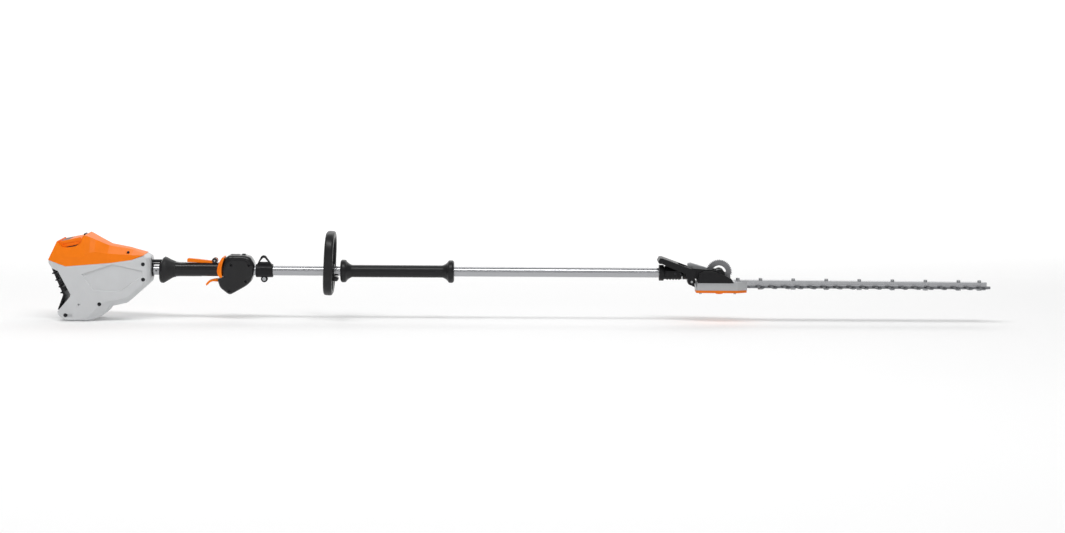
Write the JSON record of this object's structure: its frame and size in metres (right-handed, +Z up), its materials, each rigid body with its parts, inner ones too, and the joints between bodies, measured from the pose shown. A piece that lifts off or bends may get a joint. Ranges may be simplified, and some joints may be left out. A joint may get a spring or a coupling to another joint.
{
  "type": "pole hedge trimmer",
  "caption": "Long pole hedge trimmer: battery power head, control handle, loop handle, grip sleeve, tilting gear head and double-sided cutter bar.",
  "frame": {"origin": "on the rest face under the power head, in the centre plane", "axes": "+X along the pole towards the blade tip, +Z up"},
  "size_m": [2.525, 0.15, 0.2418],
  "materials": {
    "orange_plastic": "moulded, satin, orange",
    "grey_plastic": "moulded, satin, light grey",
    "black_plastic": "fine moulded grain, black",
    "black_rubber": "soft matt black",
    "dark_plastic": "dark grey",
    "steel": "bright",
    "dark_steel": "blackened",
    "quadrant_steel": "bead blasted",
    "blade_steel": "ground, laser cut edges",
    "aluminium": "drawn, anodised",
    "cast_aluminium": "die cast, fine grain",
    "copper": "enamelled windings",
    "circuit_board": "lacquered board",
    "bush_plastic": "natural",
    "display": "dark window"
  },
  "bodies": {
    "power_head_and_pole": {"housing_right": "grey_plastic", "housing_left": "grey_plastic", "top_cover": "orange_plastic", "rest_pad": "grey_plastic", "housing_screws": "dark_steel", "battery_tray": "black_plastic", "terminal_block": "dark_plastic", "intake_grille": "black_plastic", "motor_can": "steel", "motor_stator": "copper", "motor_flange": "dark_plastic", "motor_bearings": "steel", "motor_controller": "circuit_board", "pole_socket": "black_plastic", "control_cables": "black_rubber", "pole_tube": "aluminium", "shaft_bushes": "bush_plastic", "handle_right": "black_plastic", "handle_left": "black_plastic", "handle_screws": "dark_steel", "trigger_switch": "dark_plastic", "display_panel": "display", "grip_sleeve": "black_rubber", "clamp_collar": "black_plastic", "joint_housing": "black_plastic", "joint_screws": "dark_steel", "pivot_fork": "cast_aluminium", "pivot_bolt": "dark_steel", "lever_pin": "steel", "latch_pin": "steel"},
    "drive_line": {"motor_rotor": "dark_steel", "motor_fan": "dark_plastic", "drive_shaft": "steel"},
    "battery": {"battery_case": "dark_plastic", "battery_cap": "orange_plastic", "battery_display": "display"},
    "battery_latch": {"battery_latch": "black_plastic"},
    "trigger": {"trigger": "orange_plastic"},
    "lockout_lever": {"lockout_lever": "orange_plastic"},
    "unlock_slider": {"unlock_slider": "orange_plastic"},
    "power_button": {"power_button": "dark_plastic"},
    "carrying_ring": {"carrying_ring": "black_plastic", "ring_screw": "steel"},
    "loop_handle": {"loop_handle": "black_rubber", "loop_screws": "dark_steel"},
    "lock_lever": {"lock_lever": "black_plastic"},
    "lock_pin": {"lock_pin": "steel"},
    "pivot_gear": {"pivot_gear": "steel"},
    "gear_head": {"gear_case": "cast_aluminium", "gear_case_cover": "black_plastic", "gear_bearings": "steel", "bottom_cover": "orange_plastic", "case_screws": "steel", "tilt_quadrant": "quadrant_steel", "guide_bar": "aluminium", "blade_bolts": "steel"},
    "bevel_shaft": {"bevel_shaft": "steel"},
    "crank": {"crank_gear": "steel"},
    "upper_blade": {"upper_blade": "blade_steel"},
    "lower_blade": {"lower_blade": "blade_steel"}
  },
  "joints": [
    {"name": "motor_spin", "type": "hinge", "parent": "power_head_and_pole", "child": "drive_line", "pos_m": [0.1, 0, 0.133], "axis": [1, 0, 0], "continuous": true},
    {"name": "pivot_gear_spin", "type": "hinge", "parent": "power_head_and_pole", "child": "pivot_gear", "pos_m": [1.734, 0, 0.133], "axis": [0, 1, 0], "continuous": true},
    {"name": "head_tilt", "type": "hinge", "parent": "power_head_and_pole", "child": "gear_head", "pos_m": [1.734, 0, 0.133], "axis": [0, -1, 0], "range_deg": [0, 145]},
    {"name": "bevel_shaft_spin", "type": "hinge", "parent": "gear_head", "child": "bevel_shaft", "pos_m": [1.734, 0, 0.11], "axis": [0, 0, 1], "continuous": true},
    {"name": "crank_spin", "type": "hinge", "parent": "gear_head", "child": "crank", "pos_m": [1.755, 0, 0.1], "axis": [0, 0, 1], "continuous": true},
    {"name": "upper_blade_stroke", "type": "slide", "parent": "gear_head", "child": "upper_blade", "axis": [1, 0, 0], "range_m": [-0.0085, 0.0085]},
    {"name": "lower_blade_stroke", "type": "slide", "parent": "gear_head", "child": "lower_blade", "axis": [1, 0, 0], "range_m": [-0.0085, 0.0085]},
    {"name": "trigger_pull", "type": "hinge", "parent": "power_head_and_pole", "child": "trigger", "pos_m": [0.396, 0, 0.106], "axis": [0, 1, 0], "range_deg": [0, 10], "stiffness_Nm_per_rad": 0.6, "springref_deg": -8.59},
    {"name": "lockout_press", "type": "hinge", "parent": "power_head_and_pole", "child": "lockout_lever", "pos_m": [0.377, 0, 0.16], "axis": [0, -1, 0], "range_deg": [0, 4], "stiffness_Nm_per_rad": 0.8, "springref_deg": -8.59},
    {"name": "unlock_slide", "type": "slide", "parent": "power_head_and_pole", "child": "unlock_slider", "axis": [1, 0, 0], "range_m": [-0.004, 0], "stiffness_N_per_m": 400, "springref_m": 0.003},
    {"name": "power_button_press", "type": "slide", "parent": "power_head_and_pole", "child": "power_button", "axis": [0, 0, -1], "range_m": [0, 0.0012], "stiffness_N_per_m": 600, "springref_m": -0.0008},
    {"name": "battery_out", "type": "slide", "parent": "power_head_and_pole", "child": "battery", "axis": [-0.2011, 0, 0.9796], "range_m": [0, 0.15]},
    {"name": "latch_swing", "type": "hinge", "parent": "power_head_and_pole", "child": "battery_latch", "pos_m": [0.03239, 0, 0.2187], "axis": [0, 1, 0], "range_deg": [0, 6], "stiffness_Nm_per_rad": 0.5, "springref_deg": -8.59},
    {"name": "carrying_ring_slide", "type": "slide", "parent": "power_head_and_pole", "child": "carrying_ring", "axis": [1, 0, 0], "range_m": [0, 0.06]},
    {"name": "loop_handle_slide", "type": "slide", "parent": "power_head_and_pole", "child": "loop_handle", "axis": [1, 0, 0], "range_m": [-0.06, 0]},
    {"name": "lock_lever_press", "type": "hinge", "parent": "power_head_and_pole", "child": "lock_lever", "pos_m": [1.658, 0, 0.112], "axis": [0, -1, 0], "range_deg": [0, 2.5], "stiffness_Nm_per_rad": 12, "springref_deg": -3.44},
    {"name": "lock_pin_slide", "type": "slide", "parent": "power_head_and_pole", "child": "lock_pin", "axis": [-0.9781, 0, 0.2079], "range_m": [0, 0.0031]}
  ],
  "couplings": [
    {"joint": "pivot_gear_spin", "follows": "motor_spin", "ratio": -0.75},
    {"joint": "bevel_shaft_spin", "follows": "motor_spin", "ratio": 1},
    {"joint": "crank_spin", "follows": "motor_spin", "ratio": -0.4},
    {"joint": "lower_blade_stroke", "follows": "upper_blade_stroke", "ratio": -1},
    {"joint": "lock_pin_slide", "follows": "lock_lever_press", "m_per_rad": 0.068755}
  ]
}
